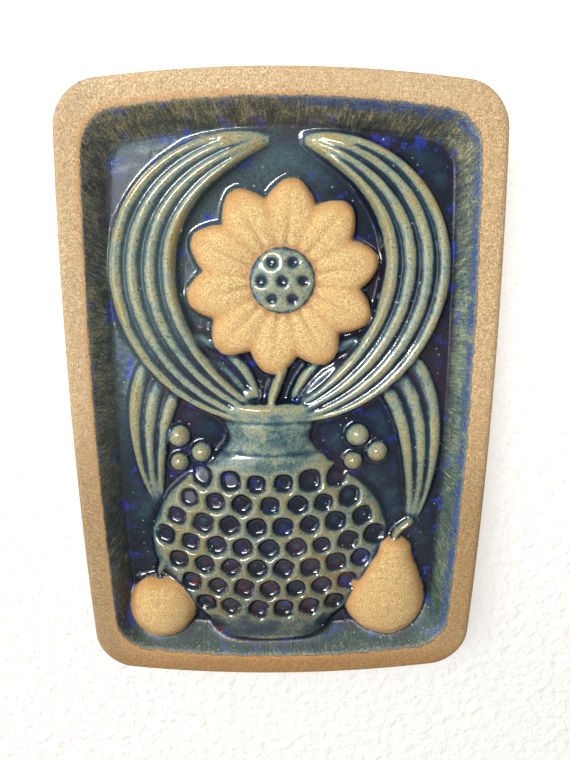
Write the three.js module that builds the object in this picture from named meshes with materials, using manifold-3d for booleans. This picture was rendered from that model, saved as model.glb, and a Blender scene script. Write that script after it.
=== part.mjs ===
// A decorative wall plate of stoneware: a deep rectangular dish with bowed sides that hangs on a wall.
// It is one casting. A bare rim frames a sunk field, and on the field stands a relief of a dimpled vase
// with fluted leaves, an open flower, berries and two fruits. The back is hollowed inside a flat foot,
// and a notch in the foot's upper bar centres the plate on its nail.
// Millimetres. X is to the right, Z is up and the front faces -Y. The origin is where the plate hangs:
// on the back of the foot's upper bar, over the nail's notch, in the plane of the wall.
import * as THREE from "three";
import { mergeVertices } from "three/addons/utils/BufferGeometryUtils.js";
import Module from "manifold-3d";

const wasm = await Module();
wasm.setup();

// The dish
const WIDTH = 160;
const HEIGHT = 236;
const DEPTH = 26;
const CORNER_RADIUS = 13.5;
const SIDE_BOW = 3; // how far the long sides swell beyond the corners
const END_BOW = 5.7; // the same for the top and the bottom
const RIM_WIDTH = 10;
const RIM_SHOULDER = 2.8; // radius of the rim's outer edge
const RIM_LIP = 1.6; // radius of the rim's inner edge
const FIELD_DEPTH = 12; // from the rim down to the sunk field
const SIDE_WALL_RUN = 5.5; // how far the dish's inner wall runs in, at the sides
const END_WALL_RUN = 8.5; // the same at the top and the bottom
const FIELD_CORNER_RADIUS = 8;
const OUTER_TAPER = 7; // how much smaller the back is than the rim, on each side

// The back
const FOOT_WIDTH = 14;
const HOLLOW_DEPTH = 6;
const HOLLOW_DRAFT = 1;
const HOLLOW_CORNER_RADIUS = 8;
const NAIL_NOTCH_RADIUS = 4;
const HANG_BELOW_EDGE = 5; // from the foot's upper edge down to the origin
const FOOT_BEVEL = 1;

// The relief, in the plate's own plane: x and z from the plate's centre, height up from the field
const LEAF_GROOVE = 0.5; // height left at the bottom of a flute, as a share
const LEAVES = [
  { path: [[-8, -8], [-26, 34], [-62, 26], [-50, -46]], halfWidth: 11.5, ridges: 3, height: 5, lift: 0 },
  { path: [[2, -8], [24, 34], [66, 26], [53, -56]], halfWidth: 11.5, ridges: 3, height: 5, lift: 0 },
  { path: [[-6, -6], [-59, 8], [-75, 85], [-2, 97]], halfWidth: 13, ridges: 4, height: 5.6, lift: 2.4 },
  { path: [[0, -6], [55, 6], [75, 82], [6, 97]], halfWidth: 13, ridges: 4, height: 5.6, lift: 2.4 },
];
const FLOWER_CENTRE = [0, 47];
const FLOWER_RADIUS = 37;
const FLOWER_TURN = 0.2; // radians
const PETALS = 10;
const PETAL_START = 11; // radius at which the petals begin
const PETAL_HALF_WIDTH = 11;
const PETAL_HEIGHT = 8.6;
const PETAL_DROOP = 2.2; // how much lower a petal's ends lie than its middle
const PETAL_CREASE = 0.9;
const HEART_RADIUS = 13;
const HEART_HEIGHT = 10.5;
const VASE_CENTRE_X = -5;
const VASE_FOOT_Z = -104;
// The vase's half width and height above its foot, from the foot to the lip
const VASE_OUTLINE = [
  [25, 0], [26, 4], [27, 8], [43, 24], [49, 44], [43, 64],
  [25, 80], [17.5, 88], [18, 94], [22, 99], [24, 104],
];
const VASE_NECK_HEIGHT = 8.8;
const VASE_BELLY_HEIGHT = 11;
const PIT_SIDES = 7;
const PIT_RADIUS = 4;
const PIT_FLOOR_RADIUS = 2.8;
const PIT_DEPTH = 3;
const PIT_PITCH = 10.7;
const PIT_ROW_SAG = 5; // how far a row of pits drops at the vase's middle
const PIT_ROWS_FROM = 14; // height above the vase's foot at which the pits begin
const PIT_ROWS_TO = 80;
const HEART_PIT_RADIUS = 2.3;
const HEART_PIT_DEPTH = 1.8;
const HEART_PIT_RING = 7.6;
const HEART_PITS = 6;
const BERRIES = [
  [-41, -14, 4.6], [-32, -21, 4.2], [-41, -25, 3.8],
  [30, -14, 4.6], [38, -21, 4.2], [28.5, -25, 3.8],
  [-13, 3, 3.8], [13, 3, 3.6],
];
const PEAR = {
  foot: [41, -103],
  tilt: 0.14,
  height: 11.5,
  outline: [[3, 0], [9.5, 2.5], [16, 9], [17.5, 18], [13.5, 29], [9, 37], [7, 42], [2, 45.5]],
};
const PLUM = {
  foot: [-49, -103],
  tilt: -0.1,
  height: 11,
  outline: [[3, 0], [8.5, 2], [13.4, 8], [14.6, 15], [12.6, 22], [7.5, 27], [2, 28.5]],
};
const STALKS = [
  { path: [[46, -60], [47, -56], [50, -54], [53, -52]], halfWidth: 1.8, height: 4.5 },
  { path: [[-51, -76], [-51.5, -73], [-50, -70], [-48, -68]], halfWidth: 1.8, height: 4.5 },
  { path: [[-5, -3], [-4, 2], [-2, 7], [0, 13]], halfWidth: 2.4, height: 7.5 },
];

// How finely curves are cut into flat faces
const CORNER_STEPS = 6;
const SIDE_STEPS = 8;
const END_STEPS = 6;
const EMBED = 3; // how far each relief piece reaches into the clay behind the field

const RIM_Y = -DEPTH;
const FIELD_Y = RIM_Y + FIELD_DEPTH;
const FOOT_TOP_Z = HEIGHT / 2 - OUTER_TAPER;

// A solid of a closed geometry, with its faces turned outwards.
function solidFrom(positions, indices) {
  const bare = new THREE.BufferGeometry()
    .setAttribute("position", new THREE.Float32BufferAttribute(positions, 3));
  bare.setIndex(indices);
  const merged = mergeVertices(bare, 1e-4);
  const corners = Array.from(merged.index.array);
  if (signedVolume(merged.attributes.position, corners) < 0) {
    for (let i = 0; i < corners.length; i += 3) {
      [corners[i + 1], corners[i + 2]] = [corners[i + 2], corners[i + 1]];
    }
  }
  return new wasm.Manifold(
    new wasm.Mesh({
      numProp: 3,
      vertProperties: Float32Array.from(merged.attributes.position.array),
      triVerts: Uint32Array.from(corners),
    }),
  );
}

function signedVolume(points, corners) {
  const a = new THREE.Vector3();
  const b = new THREE.Vector3();
  const c = new THREE.Vector3();
  let sum = 0;
  for (let i = 0; i < corners.length; i += 3) {
    a.fromBufferAttribute(points, corners[i]);
    b.fromBufferAttribute(points, corners[i + 1]);
    c.fromBufferAttribute(points, corners[i + 2]);
    sum += a.dot(b.cross(c)) / 6;
  }
  return sum;
}

function solidFromGeometry(geometry) {
  const bare = geometry.clone();
  bare.deleteAttribute("normal");
  bare.deleteAttribute("uv");
  const merged = mergeVertices(bare, 1e-4);
  return solidFrom(Array.from(merged.attributes.position.array), Array.from(merged.index.array));
}

function geometryFrom(solid) {
  const mesh = solid.getMesh();
  const geometry = new THREE.BufferGeometry();
  geometry.setAttribute("position", new THREE.BufferAttribute(mesh.vertProperties, 3));
  geometry.setIndex(new THREE.BufferAttribute(mesh.triVerts, 1));
  geometry.computeVertexNormals();
  return geometry;
}

// A rounded rectangle whose four sides are bowed outwards, as [x, z] points in order round it.
function bowedOutline(halfWidth, halfHeight, radius) {
  const a = halfWidth - SIDE_BOW;
  const b = halfHeight - END_BOW;
  const corners = [[1, 1], [-1, 1], [-1, -1], [1, -1]];
  const plain = corners.flatMap(([sx, sz], corner) => {
    const arc = Array.from({ length: CORNER_STEPS + 1 }, (_, k) => {
      const angle = (Math.PI / 2) * (corner + k / CORNER_STEPS);
      return [sx * (a - radius) + radius * Math.cos(angle), sz * (b - radius) + radius * Math.sin(angle)];
    });
    const [nextX, nextZ] = corners[(corner + 1) % corners.length];
    const nextAngle = (Math.PI / 2) * (corner + 1);
    const end = [
      nextX * (a - radius) + radius * Math.cos(nextAngle),
      nextZ * (b - radius) + radius * Math.sin(nextAngle),
    ];
    const start = arc[arc.length - 1];
    const steps = corner % 2 ? SIDE_STEPS : END_STEPS;
    const side = Array.from({ length: steps - 1 }, (_, k) => {
      const share = (k + 1) / steps;
      return [start[0] + (end[0] - start[0]) * share, start[1] + (end[1] - start[1]) * share];
    });
    return [...arc, ...side];
  });
  return plain.map(([x, z]) => [
    x + SIDE_BOW * (x / a) * (1 - (z / b) ** 2),
    z + END_BOW * (z / b) * (1 - (x / a) ** 2),
  ]);
}

// A solid through outlines of equal point counts, each in its own plane y, with flat ends.
function loft(stations) {
  const count = stations[0].outline.length;
  const positions = stations.flatMap(({ outline, y }) => outline.flatMap(([x, z]) => [x, y, z]));
  const firstCentre = stations.length * count;
  const lastCentre = firstCentre + 1;
  positions.push(0, stations[0].y, 0, 0, stations[stations.length - 1].y, 0);
  const indices = [];
  for (let i = 0; i < count; i++) {
    const next = (i + 1) % count;
    indices.push(firstCentre, next, i);
    const last = (stations.length - 1) * count;
    indices.push(lastCentre, last + i, last + next);
    for (let s = 0; s < stations.length - 1; s++) {
      const here = s * count;
      const there = here + count;
      indices.push(here + i, here + next, there + next, here + i, there + next, there + i);
    }
  }
  return solidFrom(positions, indices);
}

// A solid whose front is a grid of [x, z, height above the field], closed by a flat back inside the clay.
function reliefPiece(rows, columns, pointAt) {
  const front = [];
  const back = [];
  for (const u of rows) {
    for (const v of columns) {
      const [x, z, height] = pointAt(u, v);
      front.push(x, FIELD_Y - height, z);
      back.push(x, FIELD_Y + EMBED, z);
    }
  }
  const wide = columns.length;
  const behind = rows.length * wide;
  const indices = [];
  const quad = (a, b, c, d) => indices.push(a, b, c, a, c, d);
  for (let i = 0; i < rows.length - 1; i++) {
    for (let j = 0; j < wide - 1; j++) {
      const at = i * wide + j;
      quad(at, at + 1, at + wide + 1, at + wide);
      quad(behind + at, behind + at + wide, behind + at + wide + 1, behind + at + 1);
    }
    const left = i * wide;
    const right = left + wide - 1;
    quad(left, left + wide, behind + left + wide, behind + left);
    quad(right, behind + right, behind + right + wide, right + wide);
  }
  for (let j = 0; j < wide - 1; j++) {
    const top = (rows.length - 1) * wide + j;
    quad(j, behind + j, behind + j + 1, j + 1);
    quad(top, top + 1, behind + top + 1, behind + top);
  }
  return solidFrom([...front, ...back], indices);
}

function evenly(from, to, steps) {
  return Array.from({ length: steps + 1 }, (_, k) => from + ((to - from) * k) / steps);
}

function planeCurve(path) {
  return new THREE.CubicBezierCurve(...path.map(([x, z]) => new THREE.Vector2(x, z)));
}

// Half width of a leaf or stalk along its length: pointed at both ends.
function leafHalfWidth(leaf, along) {
  return leaf.halfWidth * (4 * along * (1 - along)) ** 0.6;
}

function leafHeight(leaf, along, across) {
  const hump = Math.abs(Math.sin((Math.PI * leaf.ridges * (across + 1)) / 2)) ** 0.7;
  const edge = (1 - across ** 2) ** 0.25;
  const rise = Math.min(1, 12 * along, 12 * (1 - along)) ** 0.5;
  return leaf.lift + leaf.height * edge * rise * (LEAF_GROOVE + (1 - LEAF_GROOVE) * hump);
}

function flutedLeaf(leaf) {
  const curve = planeCurve(leaf.path);
  const samplesPerRidge = 4;
  const across = evenly(-0.985, 0.985, leaf.ridges * samplesPerRidge);
  return reliefPiece(evenly(0.01, 0.99, 13), across, (u, v) => {
    const middle = curve.getPoint(u);
    const tangent = curve.getTangent(u);
    const half = leafHalfWidth(leaf, u) * v;
    return [middle.x - tangent.y * half, middle.y + tangent.x * half, leafHeight(leaf, u, v)];
  });
}

function stalk({ path, halfWidth, height }) {
  const curve = planeCurve(path);
  return reliefPiece(evenly(0, 1, 3), [-1, -0.5, 0.5, 1], (u, v) => {
    const middle = curve.getPoint(u);
    const tangent = curve.getTangent(u);
    const half = halfWidth * v;
    const round = Math.sqrt(1.1 - v * v);
    return [middle.x - tangent.y * half, middle.y + tangent.x * half, height * round];
  });
}

// Half of a turned shape, pressed flatter: its outline holds [half width, height above the foot] pairs.
function halfTurned({ foot, tilt, outline }, heightAt, rows, columns) {
  const curve = new THREE.SplineCurve(outline.map(([w, z]) => new THREE.Vector2(w, z)));
  return reliefPiece(evenly(0, 1, rows), evenly(-Math.PI / 2, Math.PI / 2, columns), (u, v) => {
    const { x: half, y: up } = curve.getPoint(u);
    const x = half * Math.sin(v);
    return [
      foot[0] + x * Math.cos(tilt) + up * Math.sin(tilt),
      foot[1] - x * Math.sin(tilt) + up * Math.cos(tilt),
      heightAt(half) * Math.cos(v),
    ];
  });
}

function fruit(shape) {
  const widest = Math.max(...shape.outline.map(([half]) => half));
  const low = 3;
  return halfTurned(shape, (half) => low + ((shape.height - low) * half) / widest, 9, 8);
}

function vaseHeight(half) {
  const halves = VASE_OUTLINE.map(([w]) => w);
  const slim = Math.min(...halves);
  const wide = Math.max(...halves);
  const share = THREE.MathUtils.clamp((half - slim) / (wide - slim), 0, 1);
  return THREE.MathUtils.lerp(VASE_NECK_HEIGHT, VASE_BELLY_HEIGHT, share);
}

// The vase's half width at a height above its foot.
function vaseHalfWidth(up) {
  const curve = new THREE.SplineCurve(VASE_OUTLINE.map(([w, z]) => new THREE.Vector2(w, z)));
  const closer = (a, b) => (Math.abs(b.y - up) < Math.abs(a.y - up) ? b : a);
  return curve.getPoints(200).reduce(closer).x;
}

// A pit's cutter: a shallow cone with a straight neck, its mouth at the height given.
function pitCutter(x, z, height, radius, floorRadius, depth, sides) {
  const neck = 5;
  const profile = [[0, -depth], [floorRadius, -depth], [radius, 0], [radius, neck], [0, neck]];
  const cutter = new THREE.LatheGeometry(profile.map(([r, y]) => new THREE.Vector2(r, y)), sides);
  cutter.rotateX(Math.PI); // the lathe's axis is Y, and the pit opens towards -Y
  cutter.translate(x, FIELD_Y - height, z);
  return solidFromGeometry(cutter);
}

// Places of the vase's pits, in staggered rows that sag like the rows on a round belly.
function vasePits() {
  const rowPitch = PIT_PITCH * Math.sin(Math.PI / 3);
  const [widest, middle] = VASE_OUTLINE.reduce((best, p) => (p[0] > best[0] ? p : best));
  const rows = Math.ceil(middle / rowPitch);
  const columns = Math.ceil(widest / PIT_PITCH);
  const pits = [];
  for (let row = -rows; row <= rows; row++) {
    for (let column = -columns; column <= columns; column++) {
      const x = (column + 0.5 * Math.abs(row % 2)) * PIT_PITCH;
      const flat = middle + row * rowPitch;
      const up = flat + PIT_ROW_SAG * (x / widest) ** 2;
      const half = vaseHalfWidth(up);
      if (flat < PIT_ROWS_FROM || flat > PIT_ROWS_TO || Math.abs(x) > half - PIT_RADIUS - 0.8) continue;
      const height = vaseHeight(half) * Math.sqrt(1 - (x / half) ** 2);
      pits.push({ x: VASE_CENTRE_X + x, z: VASE_FOOT_Z + up, height });
    }
  }
  return pits;
}

function vase() {
  const shape = { foot: [VASE_CENTRE_X, VASE_FOOT_Z], tilt: 0, outline: VASE_OUTLINE };
  const pits = vasePits().map(({ x, z, height }) =>
    pitCutter(x, z, height, PIT_RADIUS, PIT_FLOOR_RADIUS, PIT_DEPTH, PIT_SIDES),
  );
  return halfTurned(shape, vaseHeight, 14, 10).subtract(wasm.Manifold.union(pits));
}

function petalHalfWidth(along) {
  return PETAL_HALF_WIDTH * Math.sin(Math.PI * (0.12 + 0.88 * along)) ** 0.6;
}

function petalHeight(along, across) {
  const arch = PETAL_HEIGHT - PETAL_DROOP * 4 * (along - 0.45) ** 2;
  const crease = PETAL_CREASE * (1 - along) * Math.exp(-((across / 0.15) ** 2));
  return arch * (1 - Math.abs(across) ** 2.2) ** 0.4 - crease;
}

function petal(turn) {
  const across = [-0.98, -0.8, -0.4, 0, 0.4, 0.8, 0.98];
  return reliefPiece(evenly(0, 0.985, 6), across, (u, v) => {
    const out = PETAL_START + u * (FLOWER_RADIUS - PETAL_START);
    const side = petalHalfWidth(u) * v;
    return [
      FLOWER_CENTRE[0] + out * Math.cos(turn) - side * Math.sin(turn),
      FLOWER_CENTRE[1] + out * Math.sin(turn) + side * Math.cos(turn),
      petalHeight(u, v),
    ];
  });
}

function heartHeight(radius) {
  return HEART_HEIGHT * Math.sqrt(1 - 0.5 * (radius / HEART_RADIUS) ** 2);
}

// A round boss whose profile is [radius, height above the field] pairs from its edge to its crown.
function boss(x, z, profile, sides) {
  const closed = [[0, -EMBED], [profile[0][0], -EMBED], ...profile];
  const turned = new THREE.LatheGeometry(closed.map(([r, y]) => new THREE.Vector2(r, y)), sides);
  turned.rotateX(Math.PI); // the crown is turned to the front, -Y
  turned.translate(x, FIELD_Y, z);
  return solidFromGeometry(turned);
}

function flowerHeart() {
  const [x, z] = FLOWER_CENTRE;
  const profile = [1, 0.75, 0.4, 0].map((share) => [share * HEART_RADIUS, heartHeight(share * HEART_RADIUS)]);
  const ring = evenly(0, 2 * Math.PI, HEART_PITS).slice(1);
  const places = [[0, 0], ...ring.map((a) => [HEART_PIT_RING * Math.cos(a), HEART_PIT_RING * Math.sin(a)])];
  const pits = places.map(([dx, dz]) => {
    const height = heartHeight(Math.hypot(dx, dz));
    return pitCutter(x + dx, z + dz, height, HEART_PIT_RADIUS, HEART_PIT_RADIUS * 0.7, HEART_PIT_DEPTH, 6);
  });
  return boss(x, z, profile, 16).subtract(wasm.Manifold.union(pits));
}

function berry([x, z, radius]) {
  const profile = evenly(0, Math.PI / 2, 3).map((a) => [radius * Math.cos(a), 2 + radius * Math.sin(a)]);
  return boss(x, z, profile, 10);
}

function dish() {
  const ring = (insetX, insetZ, radius, y) => ({
    outline: bowedOutline(WIDTH / 2 - insetX, HEIGHT / 2 - insetZ, radius),
    y,
  });
  const even = (inset, radius, y) => ring(inset, inset, radius, y);
  const shoulder = (angle) =>
    even(RIM_SHOULDER * (1 - Math.cos(angle)), CORNER_RADIUS, RIM_Y + RIM_SHOULDER * (1 - Math.sin(angle)));
  const innerRadius = CORNER_RADIUS - 1.5;
  return loft([
    even(OUTER_TAPER + FOOT_BEVEL, CORNER_RADIUS, 0),
    even(OUTER_TAPER, CORNER_RADIUS, -FOOT_BEVEL),
    shoulder(0),
    shoulder(Math.PI / 4),
    shoulder(Math.PI / 2),
    even(RIM_WIDTH - RIM_LIP, innerRadius, RIM_Y),
    even(RIM_WIDTH, innerRadius, RIM_Y + RIM_LIP / 2),
    ring(RIM_WIDTH + SIDE_WALL_RUN, RIM_WIDTH + END_WALL_RUN, FIELD_CORNER_RADIUS, FIELD_Y),
  ]);
}

function backHollow() {
  const wall = OUTER_TAPER + FOOT_WIDTH;
  const past = 1; // the cutter runs a little past the back
  const station = (inset, y) => ({
    outline: bowedOutline(WIDTH / 2 - inset, HEIGHT / 2 - inset, HOLLOW_CORNER_RADIUS),
    y,
  });
  const hollow = loft([
    station(wall, past),
    station(wall, 0),
    station(wall + HOLLOW_DRAFT, -HOLLOW_DEPTH),
  ]);
  const notch = new THREE.CylinderGeometry(NAIL_NOTCH_RADIUS, NAIL_NOTCH_RADIUS, HOLLOW_DEPTH + past, 16);
  notch.translate(0, (past - HOLLOW_DEPTH) / 2, HEIGHT / 2 - wall - HOLLOW_DRAFT);
  return hollow.add(solidFromGeometry(notch));
}

function wallPlate() {
  const relief = wasm.Manifold.union([
    ...LEAVES.map(flutedLeaf),
    ...evenly(0, 2 * Math.PI, PETALS).slice(1).map((turn) => petal(turn + FLOWER_TURN)),
    flowerHeart(),
    vase(),
    fruit(PEAR),
    fruit(PLUM),
    ...STALKS.map(stalk),
    ...BERRIES.map(berry),
  ]);
  const mergeWithin = 0.04; // slivers left by the joins are closed up to this
  const solid = dish().add(relief).subtract(backHollow()).simplify(mergeWithin);
  const stoneware = new THREE.MeshStandardMaterial({ color: 0x8f8a66, roughness: 0.35, metalness: 0 });
  const mesh = new THREE.Mesh(geometryFrom(solid), stoneware);
  mesh.name = "wall_plate";
  mesh.position.z = -(FOOT_TOP_Z - HANG_BELOW_EDGE);
  return mesh;
}

const group = new THREE.Group();
group.name = "decorative_wall_plate";
group.add(wallPlate());

export default group;
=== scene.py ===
import math

import bpy
import numpy as np
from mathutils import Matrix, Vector


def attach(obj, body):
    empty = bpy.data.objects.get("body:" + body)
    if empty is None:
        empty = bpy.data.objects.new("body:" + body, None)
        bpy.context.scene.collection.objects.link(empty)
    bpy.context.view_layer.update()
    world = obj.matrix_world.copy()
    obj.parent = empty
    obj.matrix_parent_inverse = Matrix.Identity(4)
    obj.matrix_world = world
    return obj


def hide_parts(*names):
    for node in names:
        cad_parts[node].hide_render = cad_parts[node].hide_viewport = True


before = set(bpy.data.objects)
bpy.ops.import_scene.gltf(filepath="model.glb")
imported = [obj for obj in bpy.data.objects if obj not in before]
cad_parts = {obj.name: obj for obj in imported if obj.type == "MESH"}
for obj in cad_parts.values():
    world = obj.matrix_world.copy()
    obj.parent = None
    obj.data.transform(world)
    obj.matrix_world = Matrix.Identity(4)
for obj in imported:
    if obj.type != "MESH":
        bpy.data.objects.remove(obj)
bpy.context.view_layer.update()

# A stoneware wall plate: a bare sandy rim round a sunk field, which is glazed olive to navy over a relief
# of a dimpled vase with leaves, a flower, berries and fruit. Lengths in the plate's own plane are in
# millimetres from its centre, x to the right and z up; the mesh itself is in metres.

MM = 0.001

# The dish, as the solid has it
WIDTH = 160
HEIGHT = 236
DEPTH = 26
CORNER_RADIUS = 13.5
SIDE_BOW = 3
END_BOW = 5.7
RIM_SHOULDER = 2.8
RIM_TOP_INSET = 8.4  # where the rim's flat ends
WALL_STARTS = 0.14  # share of the way from there to the field at which the inner wall begins to fall
GLAZE_STARTS = 0.1  # share of that way at which the bare clay ends
MM_PER_SHARE = 11  # roughly how far the whole of that way reaches down the wall
RIM_MELT = 1.3
WALL_FOOT_MELT = 2
SIDE_FIELD_INSET = 15.5
END_FIELD_INSET = 18.5
FIELD_DEPTH = 12
FIELD_Y = FIELD_DEPTH - DEPTH  # the foot's back is at 0 and the rim's flat at -DEPTH
FIELD_CORNER_RADIUS = 8
OUTER_TAPER = 7
FOOT_INNER_INSET = 21
HOLLOW_DEPTH = 6
HOLLOW_DRAFT = 1
HOLLOW_CORNER_RADIUS = 8
NAIL_NOTCH_RADIUS = 4
HANG_BELOW_EDGE = 5  # from the foot's upper edge down to the origin
HANG_HEIGHT = HEIGHT / 2 - OUTER_TAPER - HANG_BELOW_EDGE  # the origin's height over the plate's centre
MIDDLE_BELOW_ORIGIN = HANG_HEIGHT * MM

# The mesh: columns and rows of the field's grid, and steps round each corner
COLUMNS = 180
ROWS = 286
CORNER_STEPS = 10
HOLLOW_RINGS = 5  # the first rings, in the hollow and on its edge, which the nail's notch cuts
WALL_SHARES = (0, 0.06, 0.12, 0.18, 0.25, 0.33, 0.42, 0.51, 0.6, 0.69, 0.78, 0.86, 0.93, 1.0, 1.07)
CORNER_STRIP = 4  # how wide the strip round the field is in which the corners turn square
GRID_INSET = CORNER_STRIP + 0.5  # from the inner wall's foot in to the grid's edge

# The relief, with heights above the field
LEAF_GROOVE = 0.48  # height left at the bottom of a flute, as a share
LEAF_EDGE_ROUND = 2.6
LEAF_TIP_RISE = 12  # how steeply a leaf rises from its tips
LEAVES = [
    dict(path=[(-8, -8), (-26, 34), (-62, 26), (-50, -46)], half=11.5, ridges=3, high=5, lift=0.0),
    dict(path=[(2, -8), (24, 34), (66, 26), (53, -56)], half=11.5, ridges=3, high=5, lift=0.0),
    dict(path=[(-6, -6), (-59, 8), (-75, 85), (-2, 97)], half=13, ridges=4, high=5.6, lift=2.4),
    dict(path=[(0, -6), (55, 6), (75, 82), (6, 97)], half=13, ridges=4, high=5.6, lift=2.4),
]
FLOWER_CENTRE = (0, 47)
FLOWER_RADIUS = 37
FLOWER_TURN = 0.2
PETALS = 10
PETAL_START = 11
PETAL_HALF_WIDTH = 11
PETAL_HEIGHT = 8.6
PETAL_DROOP = 2.2
PETAL_EDGE_ROUND = 2.4
PETAL_VEIN_WIDTH = 0.85
HEART_RADIUS = 13
HEART_HEIGHT = 10.5
HEART_EDGE_ROUND = 2
HEART_PITS = 6
HEART_PIT_RING = 7.6
HEART_PIT_RADIUS = 2.5
HEART_PIT_DEPTH = 1.8
HEART_PIT_STEEPNESS = 1.3
VASE_FOOT = (-5, -104)
VASE_OUTLINE = [
    (25, 0), (26, 4), (27, 8), (43, 24), (49, 44), (43, 64),
    (25, 80), (17.5, 88), (18, 94), (22, 99), (24, 104),
]
VASE_NECK_HEIGHT = 8.8
VASE_BELLY_HEIGHT = 11
VASE_END_ROUND = 1.4
NECK_GROOVES = (83.5, 96.5)  # heights above the vase's foot
NECK_GROOVE_DEPTH = 0.7
NECK_GROOVE_WIDTH = 0.8
PIT_RADIUS = 4.6
PIT_DEPTH = 3
PIT_STEEPNESS = 1.9
PIT_SQUARENESS = 2.6  # 2 is round, and more is squarer
PIT_PITCH = 10.7
PIT_FROM_EDGE = 0.4  # clay left between a pit and the vase's outline
PIT_SHIFT = 0.25  # how unevenly the pits are placed, in millimetres
PIT_SWELL = 0.05  # how unevenly they are sized, as a share
PIT_ROW_SAG = 5
PIT_ROWS = (14, 80)  # heights above the vase's foot
BERRY_SEAT = 2  # how far the middle of each berry stands above the field
BERRY_SPREAD = 0.4  # how much wider than its ball a berry is
BERRIES = [
    (-41, -14, 4.6), (-32, -21, 4.2), (-41, -25, 3.8),
    (30, -14, 4.6), (38, -21, 4.2), (28.5, -25, 3.8),
    (-13, 3, 3.8), (13, 3, 3.6),
]
PEAR = dict(
    foot=(41, -103), tilt=0.14, height=11.5,
    outline=[(3, 0), (9.5, 2.5), (16, 9), (17.5, 18), (13.5, 29), (9, 37), (7, 42), (2, 45.5)],
)
PLUM = dict(
    foot=(-49, -103), tilt=-0.1, height=11,
    outline=[(3, 0), (8.5, 2), (13.4, 8), (14.6, 15), (12.6, 22), (7.5, 27), (2, 28.5)],
)
FRUIT_END_HEIGHT = 3
FRUIT_END_ROUND = 3.5
STALKS = [
    dict(path=[(46, -60), (47, -56), (50, -54), (53, -52)], half=1.8, height=4.6),
    dict(path=[(-51, -76), (-51.5, -73), (-50, -70), (-48, -68)], half=1.8, height=4.6),
    dict(path=[(-5, -3), (-4, 2), (-2, 7), (0, 13)], half=2.4, height=7.5),
]

# How fast a form runs in from its ends: millimetres inside for each whole length from the end
LEAF_END_SLOPE = 40
PETAL_END_SLOPE = 18
STALK_END_SLOPE = 8

# How softly the glaze fills the corner where one form meets another
MELT = 1.8
SMALL_MELT = 0.5
HEART_MELT = 0.4

GLAZE_CREEP = 0.9  # how far the glaze climbs the sides of a bare form
PLENTY_BARE = 6.0  # how far inside the bare clay a place counts that has no glaze near
FAR_OUTSIDE = -9.0  # how far inside a form a place counts that is nowhere near it


def clamp01(a):
    return np.clip(a, 0, 1)


def smooth_max(a, b, melt):
    """The larger of two heights, with the corner filled where they differ by less than the melt."""
    return np.maximum(a, b) + np.maximum(melt - np.abs(a - b), 0) ** 2 / (4 * melt)


def quarter_round(inside, radius):
    """Rises from 0 at an outline to 1 at radius inside it, like a quarter circle."""
    return np.sqrt(1 - (1 - clamp01(inside / radius)) ** 2)


def pit(away, steepness):
    """1 on the floor of a pit and 0 from its edge on, where away is 1."""
    return clamp01(steepness * (1 - away**2)) ** 0.8


def groove(away, width):
    """1 along the middle of a soft groove and near 0 two widths away."""
    return np.exp(-((away / width) ** 2))


def spline_outline(points, per_span=24):
    """Half widths and heights along a smooth curve through (half width, height) points."""
    p = np.array([points[0], *points, points[-1]], float)
    t = np.linspace(0, 1, per_span, endpoint=False)[:, None]
    spans = []
    for a, b, c, d in zip(p, p[1:], p[2:], p[3:]):
        square = 2 * a - 5 * b + 4 * c - d
        cube = 3 * b - a - 3 * c + d
        spans.append(0.5 * (2 * b + (c - a) * t + square * t**2 + cube * t**3))
    curve = np.vstack([*spans, p[-1:]])
    return curve[:, 0], curve[:, 1]


def along_curve(path, x, z, steps=160):
    """Share along a Bezier curve of its point nearest each place, and the offset to the curve's left."""
    p = np.array(path, float)
    t = np.linspace(0, 1, steps)
    s = t[:, None]
    back = 1 - s
    curve = back**3 * p[0] + 3 * back**2 * s * p[1] + 3 * back * s**2 * p[2] + s**3 * p[3]
    tangent = np.gradient(curve, axis=0)
    tangent /= np.linalg.norm(tangent, axis=1)[:, None]
    dx = x[:, None] - curve[None, :, 0]
    dz = z[:, None] - curve[None, :, 1]
    nearest = np.argmin(dx * dx + dz * dz, axis=1)
    row = np.arange(len(x))
    dx, dz = dx[row, nearest], dz[row, nearest]
    tx, tz = tangent[nearest, 0], tangent[nearest, 1]
    along = dx * tx + dz * tz
    step = np.linalg.norm(np.gradient(curve, axis=0), axis=1)[nearest]
    share = t[nearest] + along / step * (t[1] - t[0])
    return share, -dx * tz + dz * tx


def near(x, z, points, margin):
    """Which places lie within a margin of the box round some points."""
    p = np.array(points, float)
    low, high = p.min(axis=0) - margin, p.max(axis=0) + margin
    return (x > low[0]) & (x < high[0]) & (z > low[1]) & (z < high[1])


def leaf(x, z, path, half, ridges, high, lift):
    """A leaf's height: flutes side by side along a curve, running out at both ends."""
    height = np.zeros(len(x))
    here = near(x, z, path, half)
    along, side = along_curve(path, x[here], z[here])
    to_end = np.minimum(along, 1 - along)
    width = half * (4 * clamp01(along) * (1 - clamp01(along))) ** 0.6
    across = np.clip(side / np.maximum(width, 0.05), -1, 1)
    inside = np.minimum(width - np.abs(side), LEAF_END_SLOPE * to_end)
    flute = np.abs(np.sin(math.pi * ridges * (across + 1) / 2)) ** 0.7
    rise = np.sqrt(clamp01(LEAF_TIP_RISE * to_end))
    shape = LEAF_GROOVE + (1 - LEAF_GROOVE) * flute
    height[here] = (lift + high * rise * shape) * quarter_round(inside, LEAF_EDGE_ROUND)
    return height


def stalk(x, z, path, half, height):
    along, side = along_curve(path, x, z, steps=40)
    to_end = STALK_END_SLOPE * np.minimum(along, 1 - along) + half / 2
    return height * quarter_round(np.minimum(half - np.abs(side), to_end), half)


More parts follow.
